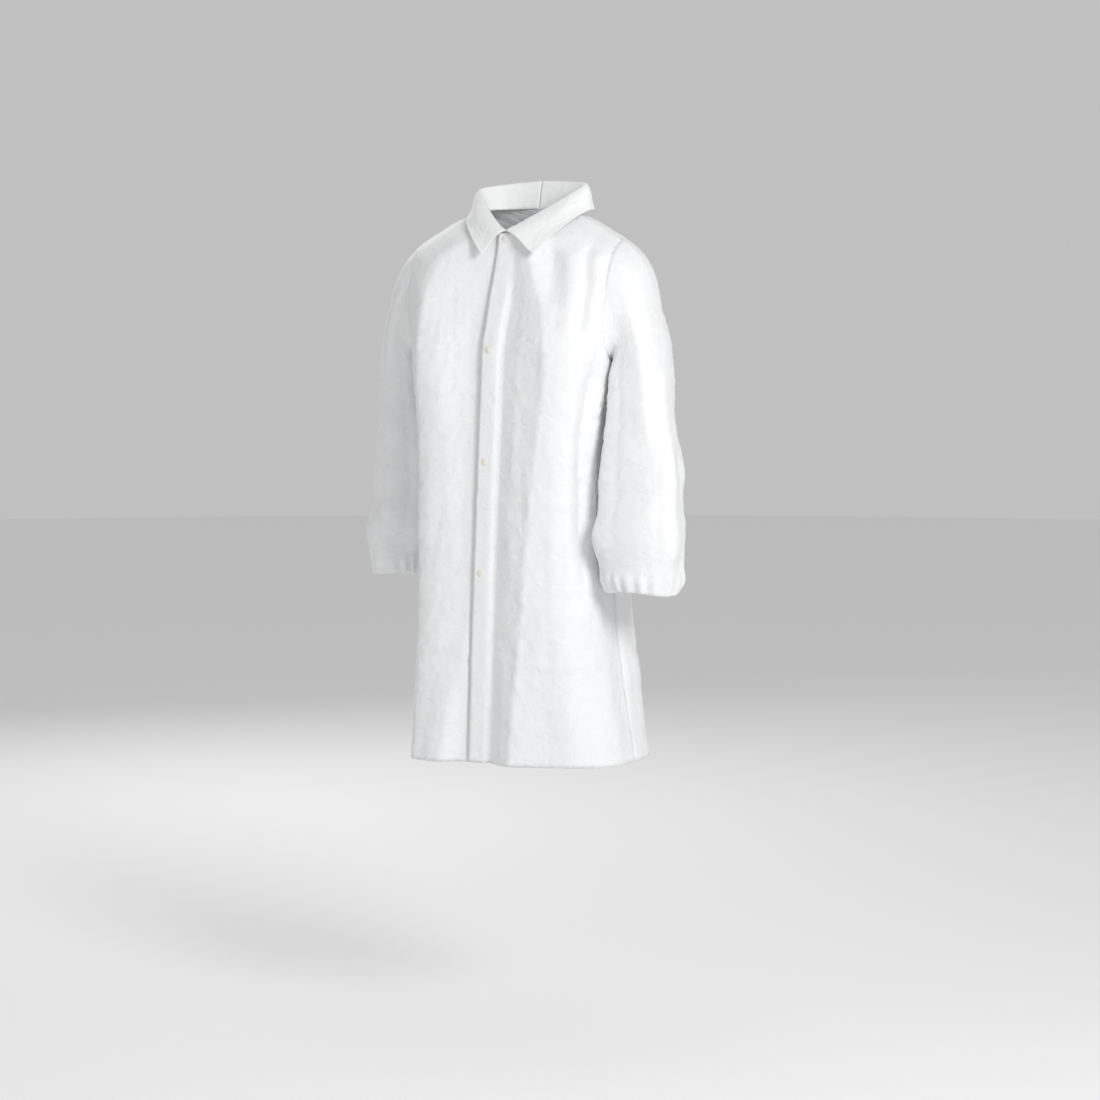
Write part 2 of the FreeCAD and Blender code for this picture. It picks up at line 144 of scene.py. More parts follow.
# ---------------------------------------------------------------- body sections
# Every list below has one value for each of these drops of the side seam.
STATION_DROP = [0.0, 0.014, 0.034, 0.058, 0.095, 0.150, 0.235, 0.420, 0.620, HEM_DROP]


def station(values):
    return curve(list(zip(STATION_DROP, values)))


# The rows sag towards the middle of the front and of the back, which lie at these drops.
drop_front = station([0.042, 0.052, 0.070, 0.096, 0.130, 0.176, 0.240, 0.420, 0.620, HEM_DROP])
drop_back = station([-0.004, 0.010, 0.034, 0.064, 0.102, 0.155, 0.237, 0.420, 0.620, HEM_DROP - 0.004])
half_width = {
    1: station([0.074, 0.110, 0.148, 0.184, 0.193, 0.190, 0.180, 0.160, 0.164, 0.204]),
    -1: station([0.074, 0.110, 0.148, 0.184, 0.193, 0.190, 0.180, 0.162, 0.166, 0.196]),
}
front_depth = station([0.0715, 0.0720, 0.0745, 0.082, 0.093, 0.107, 0.1218, 0.122, 0.1218, 0.1155])
back_depth = station([0.064, 0.070, 0.079, 0.090, 0.101, 0.111, 0.117, 0.108, 0.112, 0.122])
front_corner = {
    1: station([0.060, 0.062, 0.064, 0.068, 0.072, 0.074, 0.076, 0.060, 0.062, 0.080]),
    -1: station([0.060, 0.062, 0.064, 0.068, 0.074, 0.080, 0.092, 0.102, 0.112, 0.119]),
}
back_corner = station([0.060, 0.062, 0.064, 0.068, 0.072, 0.078, 0.084, 0.080, 0.080, 0.084])


def placket_x(drop):
    return PLACKET_TOP + PLACKET_LEAN * drop


def fold(path, height, inner, outer, rounding):
    """A fold line on a front, as (drop, distance from the placket line) and (drop, height).

    inner and outer are its widths towards the placket and towards the side seam; inner may change with drop.
    """
    return curve(path), curve(height), inner, outer, rounding


FRONT_FOLDS = {
    1: [
        # the long ridge, whose flat flank reaches to the doubled edge
        fold(
            [
                (0.05, 0.030), (0.11, 0.062), (0.17, 0.090), (0.25, 0.104),
                (0.45, 0.092), (0.70, 0.080), (0.915, 0.070),
            ],
            [(0.04, 0.000), (0.10, 0.013), (0.25, 0.0205), (0.62, 0.0210), (0.915, 0.0262)],
            curve([(0.05, 0.020), (0.11, 0.044), (0.25, 0.082), (0.60, 0.066), (0.915, 0.052)]),
            0.115,
            0.0015,
        ),
        # the groove beside the doubled edge
        fold(
            [(0.06, 0.022), (0.915, 0.022)],
            [(0.08, 0.000), (0.20, -0.006), (0.915, -0.006)],
            0.007,
            0.030,
            0.001,
        ),
        # two short hollows below the shoulder
        fold(
            [(0.06, 0.080), (0.15, 0.100), (0.25, 0.110)],
            [(0.05, 0.000), (0.08, -0.010), (0.13, -0.008), (0.17, 0.000)],
            0.026,
            0.022,
            0.006,
        ),
        fold(
            [(0.05, 0.155), (0.09, 0.146), (0.13, 0.152), (0.21, 0.150)],
            [(0.05, 0.000), (0.08, -0.008), (0.18, -0.007), (0.22, 0.000)],
            0.014,
            0.012,
            0.003,
        ),
        # the hollow behind the arm
        fold(
            [(0.25, 0.185), (0.40, 0.170), (0.60, 0.180)],
            [(0.22, 0.000), (0.32, -0.020), (0.50, -0.018), (0.66, 0.000)],
            0.026,
            0.030,
            0.003,
        ),
    ],
    -1: [
        # the ridge at the outer side
        fold(
            [(0.04, 0.100), (0.147, 0.124), (0.30, 0.118), (0.52, 0.110), (0.915, 0.106)],
            [(0.03, 0.000), (0.12, 0.014), (0.30, 0.023), (0.60, 0.024), (0.915, 0.025)],
            0.105,
            0.050,
            0.0015,
        ),
        # the soft hollow between it and the placket
        fold(
            [(0.06, 0.030), (0.30, 0.040), (0.915, 0.040)],
            [(0.08, 0.000), (0.25, -0.005), (0.60, -0.006), (0.915, -0.004)],
            0.026,
            0.045,
            0.012,
        ),
        # the crease that slants to the hem
        fold(
            [(0.62, 0.020), (0.75, 0.034), (0.915, 0.062)],
            [(0.62, 0.000), (0.76, 0.004), (0.915, 0.009)],
            0.026,
            0.030,
            0.005,
        ),
    ],
}
BACK_FOLDS = [
    # side offset near the top and at the hem, height, width
    (-0.150, -0.172, 0.012, 0.040),
    (-0.088, -0.098, -0.013, 0.045),
    (-0.036, -0.046, 0.013, 0.040),
    (0.030, 0.034, -0.012, 0.042),
    (0.080, 0.090, 0.014, 0.038),
    (0.140, 0.158, -0.011, 0.040),
]
# Sharp creases left by the folded pack, as (drop, height) for each front and, under 0, the back.
PACK_CREASES = {
    1: [(0.480, 0.0009), (0.630, -0.0008), (0.749, 0.0014)],
    -1: [(0.300, 0.0007), (0.560, 0.0008), (0.732, 0.0014)],
    0: [(0.270, 0.0010), (0.505, -0.0012), (0.740, 0.0014)],
}
body_crinkle = crinkles(5, 7, 60)
arm_crinkle = crinkles(8, 7, 55)
body_ripple = ripples(11, 22, 42, 9)
fine_ripple = ripples(23, 40, 120, 34)
# Heights of those waves on the body and on the sleeves.
FRONT_RIPPLE, BACK_RIPPLE, FINE_RIPPLE, BODY_CRINKLE = 0.0016, 0.0020, 0.0005, 0.0011
ARM_RIPPLE, ARM_FINE_RIPPLE, ARM_CRINKLE = 0.0030, 0.0004, 0.0014
PACK_RIDGE = 0.0012  # the pack's upright crease down the middle of the back


def creases(side, drop, where):
    """The pack's creases, drifting a little across the panel."""
    total = 0
    for level, height in PACK_CREASES[side]:
        line = level + 0.004 * np.sin(9 * where + 40 * level)
        total = total + height * tent(drop - line, 0.010, 0.0012)
    return total


def resample(points, count):
    """Points at even steps along a polyline."""
    steps = np.r_[0, np.cumsum(np.linalg.norm(np.diff(points, axis=0), axis=1))]
    wanted = np.linspace(0, steps[-1], count)
    return np.stack([np.interp(wanted, steps, points[:, axis]) for axis in range(points.shape[1])], axis=1)


def section_line(start, wide, deep, radius, way):
    """The plan outline from x = start on the front or back round the corner to the side seam at y = 0."""
    flat = np.linspace(start, wide - radius, 90)
    turn = np.linspace(0, math.pi / 2, 50)[1:]
    side = np.linspace(deep - radius, 0, 40)[1:]
    xs = np.r_[flat, wide - radius + radius * np.sin(turn), np.full(len(side), wide)]
    ys = np.r_[np.full(len(flat), deep), deep - radius + radius * np.cos(turn), side]
    return np.stack([xs, way * ys], axis=1)


def outward(points):
    """Unit normals of a plan outline that runs from the middle to the side."""
    tangent = np.gradient(points, axis=0)
    normal = np.stack([tangent[:, 1], -tangent[:, 0]], axis=1)
    normal /= np.linalg.norm(normal, axis=1)[:, None]
    return normal


def front_row(level, side):
    """One row of a front panel as (points, uv), from the front edge to the side seam."""
    wide, deep, radius = half_width[side](level), front_depth(level), front_corner[side](level)
    drop_here = float(drop_front(level))
    line = float(placket_x(drop_here)) * side
    edge = line - FRONT_EDGE
    plan = resample(section_line(edge, wide, deep, radius, -1), FRONT_COLUMNS)
    reach = np.r_[0, np.cumsum(np.linalg.norm(np.diff(plan, axis=0), axis=1))] - FRONT_EDGE
    share = 1 + plan[:, 1] / deep
    drop = drop_here + (level - drop_here) * np.clip(share, 0, 1)
    push = np.zeros(FRONT_COLUMNS)
    for path, height, inner, outer, rounding in FRONT_FOLDS[side]:
        distance = reach - path(drop)
        width = np.where(distance < 0, inner(drop) if callable(inner) else inner, outer)
        push += height(drop) * tent(distance, width, rounding)
    loose = smooth(0.018, 0.060, reach) * smooth(0.05, 0.16, drop) * (1 - smooth(0.97, 1.0, share))
    push *= smooth(0.012, 0.024, reach) * (1 - smooth(0.90, 1.0, share))
    push += FRONT_RIPPLE * loose * body_ripple(reach + side, drop)
    push += FINE_RIPPLE * loose * fine_ripple(reach, drop + side)
    push += BODY_CRINKLE * loose * body_crinkle(reach + side, drop)
    push += creases(side, drop, reach)
    push += EDGE_RISE * (1 - smooth(FACING - FRONT_EDGE, FACING - FRONT_EDGE + 0.0016, reach)) * (side == 1)
    if side == 1:
        push += (LIFT - EDGE_RISE) * (1 - smooth(*LIFT_REACH, reach))
    normal = outward(plan)
    plan = plan + normal * push[:, None]
    points = np.stack([side * plan[:, 0], plan[:, 1], -drop], axis=1)
    return points, np.stack([reach, drop], axis=1)


def back_row(level):
    """One row of the back panel, from the left side seam round to the right one."""
    deep, radius = back_depth(level), back_corner(level)
    halves = []
    for side in (1, -1):
        outline = section_line(0.0, half_width[side](level), deep, radius, 1)
        halves.append(outline * (side, 1))
    plan = resample(np.r_[halves[0][::-1], halves[1][1:]], BACK_COLUMNS)
    share = np.clip(plan[:, 1] / deep, 0, 1)
    drop = level + (float(drop_back(level)) - level) * share
    push = np.zeros(BACK_COLUMNS)
    grow = smooth(0.12, 0.90, drop)
    for top, foot, height, width in BACK_FOLDS:
        line = top + (foot - top) * smooth(0.1, 0.9, drop)
        push += height * grow * tent(plan[:, 0] - line, width, 0.008)
    push += BACK_RIPPLE * body_ripple(plan[:, 0] * 1.2 + 5, drop) * smooth(0.05, 0.2, drop)
    push += BODY_CRINKLE * body_crinkle(plan[:, 0], drop) * smooth(0.04, 0.12, drop)
    push += creases(0, drop, plan[:, 0])
    push += PACK_RIDGE * tent(plan[:, 0] - 0.004, 0.010, 0.0012)
    push *= 1 - smooth(0.90, 1.0, 1 - share)
    normal = -outward(plan)
    plan = plan + normal * push[:, None]
    run = np.r_[0, np.cumsum(np.linalg.norm(np.diff(plan, axis=0), axis=1))]
    points = np.stack([plan[:, 0], plan[:, 1], -drop], axis=1)
    return points, np.stack([run, drop], axis=1)


# ---------------------------------------------------------------- mesh tools
def grid_mesh(name, rows, uvs, closed=False):
    """A mesh over a grid of points, with its uv in metres."""
    rows, uvs = np.asarray(rows), np.asarray(uvs)
    count, across = rows.shape[:2]
    mesh = bpy.data.meshes.new(name)
    faces, corners = [], []
    for i in range(count - 1):
        for j in range(across if closed else across - 1):
            k = (j + 1) % across
            faces.append((i * across + j, (i + 1) * across + j, (i + 1) * across + k, i * across + k))
            wrapped = uvs[i, j][0] + (uvs[i, 1][0] - uvs[i, 0][0])
            for row, column in ((i, j), (i + 1, j), (i + 1, k), (i, k)):
                u, v = uvs[row, column]
                corners.append((wrapped if closed and k == 0 and column == 0 else u, v))
    mesh.from_pydata(rows.reshape(-1, 3).tolist(), [], faces)
    layer = mesh.uv_layers.new(name="UVMap")
    layer.data.foreach_set("uv", np.array(corners).ravel())
    mesh.polygons.foreach_set("use_smooth", [True] * len(mesh.polygons))
    piece = bpy.data.objects.new(name, mesh)
    bpy.context.collection.objects.link(piece)
    return piece


def edit(piece, action):
    """Runs action on the piece's mesh as a bmesh, and returns its result."""
    work = bmesh.new()
    work.from_mesh(piece.data)
    result = action(work)
    work.to_mesh(piece.data)
    work.free()
    piece.data.update()
    return result


def cut_armhole(piece, side):
    """Cuts the panel off at the armhole plane, above the underarm, and returns the points of the cut."""

    def action(work):
        near = [f for f in work.faces if f.calc_center_median().z > -UNDERARM_DROP]
        touched = set(near)
        corners = [v for v in work.verts if touched.intersection(v.link_faces)]
        edges = [e for e in work.edges if touched.intersection(e.link_faces)]
        bmesh.ops.bisect_plane(
            work,
            geom=corners + edges + near,
            dist=1e-5,
            plane_co=(side * ARMHOLE_SIDE, 0, 0),
            plane_no=(side, 0, 0),
            clear_outer=False,
        )
        past = [
            f
            for f in work.faces
            if f.calc_center_median().x * side > ARMHOLE_SIDE and f.calc_center_median().z > -UNDERARM_DROP
        ]
        bmesh.ops.delete(work, geom=past, context="FACES")
        tiny = [e for e in work.edges if e.calc_length() < 2e-5]
        bmesh.ops.collapse(work, edges=tiny)
        return [
            tuple(v.co)
            for v in work.verts
            if abs(v.co.x - side * ARMHOLE_SIDE) < 2e-5 and v.is_boundary
        ]

    return edit(piece, action)


def thicken(piece):
    """Gives a sheet its thickness, half on each side."""
    solid = piece.modifiers.new("thickness", "SOLIDIFY")
    solid.thickness = FABRIC
    solid.offset = 0
    solid.use_even_offset = False


# ---------------------------------------------------------------- panels
levels = np.r_[
    np.linspace(0, UPPER_DROP, UPPER_ROWS, endpoint=False),
    np.linspace(UPPER_DROP, HEM_DROP, ROWS - UPPER_ROWS),
]
panels = {}
for label, side in SIDES.items():
    rows = [front_row(level, side) for level in levels]
    points, uvs = [r[0] for r in rows], [r[1] for r in rows]
    if side == 1:
        points = [p[::-1] for p in points]
        uvs = [u[::-1] for u in uvs]
    panels[f"{label}_front"] = grid_mesh(f"{label}_front", points, uvs)
rows = [back_row(level) for level in levels]
panels["back"] = grid_mesh("back", [r[0][::-1] for r in rows], [r[1][::-1] for r in rows])

armholes = {}
for label, side in SIDES.items():
    rim = cut_armhole(panels[f"{label}_front"], side) + cut_armhole(panels["back"], side)
    armholes[side] = np.array(rim)


# ---------------------------------------------------------------- sleeves
ARM_STATIONS = {
    # share of the sleeve's length: side, y, drop, lean in degrees, half width, half depth
    1: {
        0.00: (0.178, 0.000, 0.156, 0, 0.088, 0.062),
        0.16: (0.214, -0.004, 0.224, 45, 0.051, 0.064),
        0.34: (0.224, -0.020, 0.322, 80, 0.049, 0.060),
        0.62: (0.235, -0.046, 0.455, 87, 0.066, 0.060),
        0.86: (0.238, -0.060, 0.565, 90, 0.070, 0.061),
        0.95: (0.240, -0.062, 0.603, 90, 0.068, 0.059),
        1.00: (0.241, -0.062, 0.624, 90, 0.058, 0.050),
    },
    -1: {
        0.00: (0.178, 0.000, 0.156, 0, 0.088, 0.062),
        0.16: (0.212, 0.008, 0.224, 45, 0.050, 0.063),
        0.34: (0.222, 0.027, 0.322, 80, 0.047, 0.057),
        0.62: (0.225, 0.034, 0.455, 88, 0.053, 0.056),
        0.86: (0.238, 0.032, 0.560, 88, 0.055, 0.057),
        0.95: (0.241, 0.030, 0.592, 90, 0.056, 0.056),
        1.00: (0.240, 0.030, 0.614, 90, 0.050, 0.048),
    },
}
CUFF_PLACE = {1: (0.240, -0.062), -1: (0.236, 0.030)}
# Long folds down the sleeves: angle round from the outside and its drift along the sleeve, height, and
# the shares of the length between which they run.
ARM_FOLDS = {
    1: [
        ((2.30, 0.05), 0.010, 0.10, 0.92),
        ((1.30, -0.55), 0.004, 0.02, 0.55),
        ((0.30, 0.20), 0.008, 0.22, 0.97),
        ((4.00, 0.40), 0.007, 0.10, 0.85),
        ((5.20, -0.30), 0.006, 0.30, 0.97),
    ],
    -1: [
        ((1.35, 0.20), 0.007, 0.10, 0.85),
        ((2.30, 0.15), 0.006, 0.30, 0.95),
        ((0.20, 0.30), 0.005, 0.40, 0.98),
        ((4.40, -0.30), 0.007, 0.08, 0.80),
        ((5.40, 0.20), 0.005, 0.35, 0.97),
    ],
}
CUFF_TURN = 8  # rows that turn in to the elastic
WRIST, WRIST_DROP = 0.034, 0.6  # radius and drop at the elastic
SQUASH = 0.86  # below 1, the sleeve's section is boxier than an ellipse
SLEEVE_LENGTH, SLEEVE_AROUND, TURN_LENGTH = 0.56, 0.40, 0.03  # span of the texture
JOIN = 0.13  # share of the length over which the armhole's shape fades out
GATHERS = 17
arm_ripple = ripples(31, 26, 3.0, 26)
arm_fine = ripples(47, 36, 9.0, 70)


def armhole_ring(side):
    """The cut edge of the body, evenly spaced from the top round by the front."""
    rim = armholes[side]
    middle = np.array([ARMHOLE_SIDE * side, 0.0, -ARMHOLE_DROP])
    angle = np.arctan2(-(rim[:, 1] - middle[1]), rim[:, 2] - middle[2]) % FULL_TURN
    order = np.argsort(angle)
    angle, rim = angle[order], rim[order]
    keep = np.r_[True, np.diff(angle) > 1e-4]
    angle, rim = angle[keep], rim[keep]
    loop = np.r_[rim[-1:], rim, rim[:1]]
    turns = np.r_[angle[-1] - FULL_TURN, angle, angle[0] + FULL_TURN]
    wanted = np.linspace(0, FULL_TURN, ARM_COLUMNS, endpoint=False)
    return np.stack([np.interp(wanted, turns, loop[:, axis]) for axis in range(3)], axis=1)


def turn_wave(turn):
    """A periodic stand-in for the angle, so that waves close round the arm."""
    return np.sin(turn) * 2.0 + np.cos(2 * turn)


def apart(turn, place):
    """Signed angles from place to turn, within half a turn."""
    return (turn - place + math.pi) % FULL_TURN - math.pi


def sleeve_relief(turn, t, side):
    """How far the sleeve's cloth stands out at share t of its length: waves, folds and cuff gathers."""
    drape = smooth(0.10, 0.30, t) * (1 - smooth(0.97, 1.0, t))
    wave = turn_wave(turn)
    push = drape * (ARM_RIPPLE * arm_ripple(wave, t) + ARM_FINE_RIPPLE * arm_fine(wave, t))
    push += drape * ARM_CRINKLE * arm_crinkle(np.abs(apart(turn, 0)) * 0.062 + 0.3 * side, t * 0.5)
    for (angle, drift), height, low, high in ARM_FOLDS[side]:
        shown = smooth(low, low + 0.12, t) * (1 - smooth(high - 0.15, high, t))
        push += height * shown * tent(apart(turn, angle + drift * t), 0.42, 0.03)
    front_crest = (0.95 - 0.35 * t) * (1 if side == 1 else 0.8)
    push += 0.004 * drape * (1 - smooth(0.55, 0.9, t)) * tent(apart(turn, front_crest), 0.55, 0.03)
    push += 0.006 * drape * tent(apart(turn, 4.6), 0.6, 0.05)
    push += 0.0035 * smooth(0.90, 1.0, t) * np.sin(GATHERS * turn + 2.0 * np.sin(3 * turn + side))
    return push


def sleeve_ring(track, turn, t, side, armhole):
    """The sleeve's section at share t of its length, which starts as the armhole itself."""
    if t == 0:
        return armhole
    x, y, drop, lean, wide, deep = (f(t) for f in track)
    lean = math.radians(lean)
    out = np.array([math.sin(lean), 0, math.cos(lean)])
    cosine, sine = np.cos(turn), np.sin(turn)
    across = wide * np.sign(cosine) * np.abs(cosine) ** SQUASH
    along = deep * np.sign(sine) * np.abs(sine) ** SQUASH
    grow = 1 + sleeve_relief(turn, t, side) / np.hypot(across, along)
    sag = 0.004 * smooth(0.90, 1.0, t) * np.sin(2 * turn + 1.0)
    ring = np.stack(
        [side * (x + out[0] * across * grow), y - along * grow, -drop + out[2] * across * grow - sag], axis=1
    )
    join = 1 - smooth(0.0, JOIN, t)
    if join > 0:
        spin = armhole - (ARMHOLE_SIDE * side, 0, -ARMHOLE_DROP)
        leaning = np.stack([side * spin[:, 2] * out[0], spin[:, 1], spin[:, 2] * out[2]], axis=1)
        ring = ring * (1 - join) + (leaning + (side * x, y, -drop)) * join
    return ring


def cuff_turn_rings(last, turn, side):
    """The rings in which the sleeve's end turns in to the elastic."""
    cuff_x, cuff_y = CUFF_PLACE[side]
    inner_x = side * (cuff_x + WRIST * np.cos(turn) * (1 + 0.05 * np.sin(GATHERS * turn)))
    aim = np.stack([inner_x, cuff_y - WRIST * np.sin(turn), np.full(ARM_COLUMNS, -WRIST_DROP)], axis=1)
    rings = []
    for i in range(1, CUFF_TURN + 1):
        s = i / CUFF_TURN
        inward, upward = smooth(0, 1, s), s * s
        ring = last.copy()
        ring[:, :2] = last[:, :2] * (1 - inward) + aim[:, :2] * inward
        ring[:, 2] = last[:, 2] * (1 - upward) + aim[:, 2] * upward - 0.006 * math.sin(math.pi * s)
        rings.append(ring)
    return rings


def arm_piece(label, side):
    """A sleeve from the armhole to the elastic, as one sheet."""
    stations = ARM_STATIONS[side]
    track = [curve([(share, sizes[k]) for share, sizes in stations.items()]) for k in range(6)]
    turn = np.linspace(0, FULL_TURN, ARM_COLUMNS, endpoint=False)
    armhole = armhole_ring(side)
    shares = [i / (ARM_ROWS - 1) for i in range(ARM_ROWS)]
    rows = [sleeve_ring(track, turn, t, side, armhole) for t in shares]
    rows += cuff_turn_rings(rows[-1], turn, side)
    runs = [t * SLEEVE_LENGTH for t in shares]
    runs += [SLEEVE_LENGTH + i / CUFF_TURN * TURN_LENGTH for i in range(1, CUFF_TURN + 1)]
    around = turn / FULL_TURN * SLEEVE_AROUND
    uvs = [np.stack([around, np.full(ARM_COLUMNS, run)], axis=1) for run in runs]
    if side == -1:
        rows = [r[::-1] for r in rows]
        uvs = [u[::-1] for u in uvs]
    return grid_mesh(f"{label}_sleeve_cloth", rows, uvs, closed=True)


for label, side in SIDES.items():
    panels[f"{label}_sleeve"] = arm_piece(label, side)


# ---------------------------------------------------------------- collar
COLLAR_ROWS = 96
STAND_STEPS, FALL_STEPS = 12, 26
COLLAR_LENGTH, COLLAR_DEPTH = 0.25, 0.095  # span of the texture
# Each line of the collar runs from the back centre over the corner of the shoulder to the front.
COLLAR_BACK = {"root": (0, 0.064, 0.002), "roll": (0, 0.078, 0.050), "edge": (0, 0.100, 0.004)}
COLLAR_CORNER = {
    1: {"root": (0.072, 0.012, -0.002), "roll": (0.098, 0.034, 0.040), "edge": (0.113, 0.022, -0.002)},
    -1: {"root": (0.072, 0.012, -0.002), "roll": (0.088, 0.020, 0.036), "edge": (0.101, 0.004, -0.008)},
}
COLLAR_POINT = {1: (0.065, -0.106, -0.078), -1: (0.030, -0.101, -0.077)}
COLLAR_BULGE = {"root": (0.012, -0.016, 0.0), "roll": (0.004, -0.004, 0.0), "edge": (0.009, -0.010, 0.010)}
CORNER_SHARE = 0.45  # share of the collar's length at which the corner lies
COLLAR_DROP = 0.042  # where the collar meets the placket line


def collar_line(key, v, side):
    """The point at share v of one of the collar's lines: its root, its roll or its outer edge."""
    placket = side * float(placket_x(COLLAR_DROP))
    front = {
        "root": (placket - 0.002, -0.0745, -0.043),
        "roll": (placket + 0.001, -0.081, -0.038),
        "edge": COLLAR_POINT[side],
    }
    a, b, c = (np.array(line[key], dtype=float) for line in (COLLAR_BACK, COLLAR_CORNER[side], front))
    if v < CORNER_SHARE:
        s = v / CORNER_SHARE
        bend = np.array([b[0] * 1.02, a[1] * 0.96, (a[2] + b[2]) / 2 + 0.002])
        return (1 - s) ** 2 * a + 2 * s * (1 - s) * bend + s * s * b
    s = (v - CORNER_SHARE) / (1 - CORNER_SHARE)
    return (1 - s) * b + s * c + np.array(COLLAR_BULGE[key]) * 4 * s * (1 - s)


def collar_half(label, side):
    """Half of the collar from the back centre to the front point: stand, roll and fall in one sheet."""
    rows, uvs = [], []
    for v in (i / (COLLAR_ROWS - 1) for i in range(COLLAR_ROWS)):
        root, roll, edge = (collar_line(key, v, side) for key in ("root", "roll", "edge"))
        aside = min(1.0, 3 * v)
        swell = np.array([0.004 * aside, 0.004 - 0.007 * aside, 0.004])
        row = []
        for s in (j / STAND_STEPS for j in range(STAND_STEPS + 1)):
            row.append(root * (1 - s) + roll * s + np.array([0, 0, 0.003]) * math.sin(math.pi * s))
        for s in (j / FALL_STEPS for j in range(1, FALL_STEPS + 1)):
            lift = swell * math.sin(math.pi * min(1, 1.2 * s)) * (1 - s)
            row.append(roll * (1 - s) + edge * s + lift)
        rows.append(np.array(row) * (side, 1, 1))
        across = np.linspace(0, COLLAR_DEPTH, len(row))
        uvs.append(np.stack([np.full(len(row), v * COLLAR_LENGTH), across], axis=1))
    if side == 1:
        rows, uvs = rows[::-1], uvs[::-1]
    return grid_mesh(f"{label}_collar", rows, uvs)


for label, side in SIDES.items():
    panels[f"{label}_collar"] = collar_half(label, side)


# ---------------------------------------------------------------- cloth simulation
SETTLE_FRAMES = 16
HELD = 0.50  # how firmly the free cloth keeps to its designed place
HEM_HELD = 0.7  # and how firmly the hem does
GROWTH = {"back": 0.02, "front": 0.018, "sleeve": 0.015}  # spare cloth, as a share of its length


def settle(piece, pinned, growth):
    """Lets the cloth hang and buckle a little, held fast where pinned gives 1, and keeps the result."""
    group = piece.vertex_groups.new(name="pins")
    for vertex in piece.data.vertices:
        group.add([vertex.index], float(pinned(*vertex.co)), "REPLACE")
    simulation = piece.modifiers.new("settle", "CLOTH")
    fabric = simulation.settings
    fabric.quality = 5
    fabric.mass = 0.05
    fabric.tension_stiffness = 18
    fabric.compression_stiffness = 18
    fabric.shear_stiffness = 8
    fabric.bending_stiffness = 4
    fabric.air_damping = 2
    fabric.vertex_group_mass = "pins"
    fabric.pin_stiffness = 1.0
    fabric.shrink_min = -growth
    simulation.collision_settings.use_collision = False
    simulation.point_cache.frame_start = 1
    simulation.point_cache.frame_end = SETTLE_FRAMES
    scene = bpy.context.scene
    for frame_number in range(1, SETTLE_FRAMES + 1):
        scene.frame_set(frame_number)
    ready = piece.evaluated_get(bpy.context.evaluated_depsgraph_get())
    shape = np.empty(len(ready.data.vertices) * 3)
    ready.data.vertices.foreach_get("co", shape)
    piece.modifiers.remove(simulation)
    piece.vertex_groups.remove(group)
    piece.data.vertices.foreach_set("co", shape)
    piece.data.update()
    scene.frame_set(1)


def body_pinned(x, y, z):
    """What the fronts and the back share: the side seams, the armholes and the hem. x and y are unsigned."""
    flank = 1 - smooth(0.010, 0.045, y)
    armhole = smooth(ARMHOLE_SIDE - 0.02, ARMHOLE_SIDE - 0.002, x) * (-z < UNDERARM_DROP)
    hem = HEM_HELD * smooth(HEM_DROP - 0.02, HEM_DROP, -z)
    return max(flank, armhole, hem, HELD)


def front_pins(side):
    """A front is also held along its edge and at the shoulder."""

    def pinned(x, y, z):
        edge = 1 - smooth(0.034, 0.060, side * (x - placket_x(-z)))
        top = 1 - smooth(0.14, 0.22, -z)
        return max(edge, top, body_pinned(side * x, -y, z))

    return pinned


def back_pinned(x, y, z):
    top = 1 - smooth(0.10, 0.20, -z)
    return max(top, body_pinned(abs(x), y, z))


def sleeve_pins(side):
    """A sleeve is held at its head and at its cuff."""

    def pinned(x, y, z):
        head = 1 - smooth(0.008, 0.05, side * x - ARMHOLE_SIDE + 0.15 * max(0.0, 0.24 + z))
        cuff = smooth(0.555, 0.585, -z)
        return max(head if z > -0.27 else 0.0, cuff, HELD)

    return pinned


settle(panels["back"], back_pinned, GROWTH["back"])
for label, side in SIDES.items():
    settle(panels[f"{label}_front"], front_pins(side), GROWTH["front"])
    settle(panels[f"{label}_sleeve"], sleeve_pins(side), GROWTH["sleeve"])


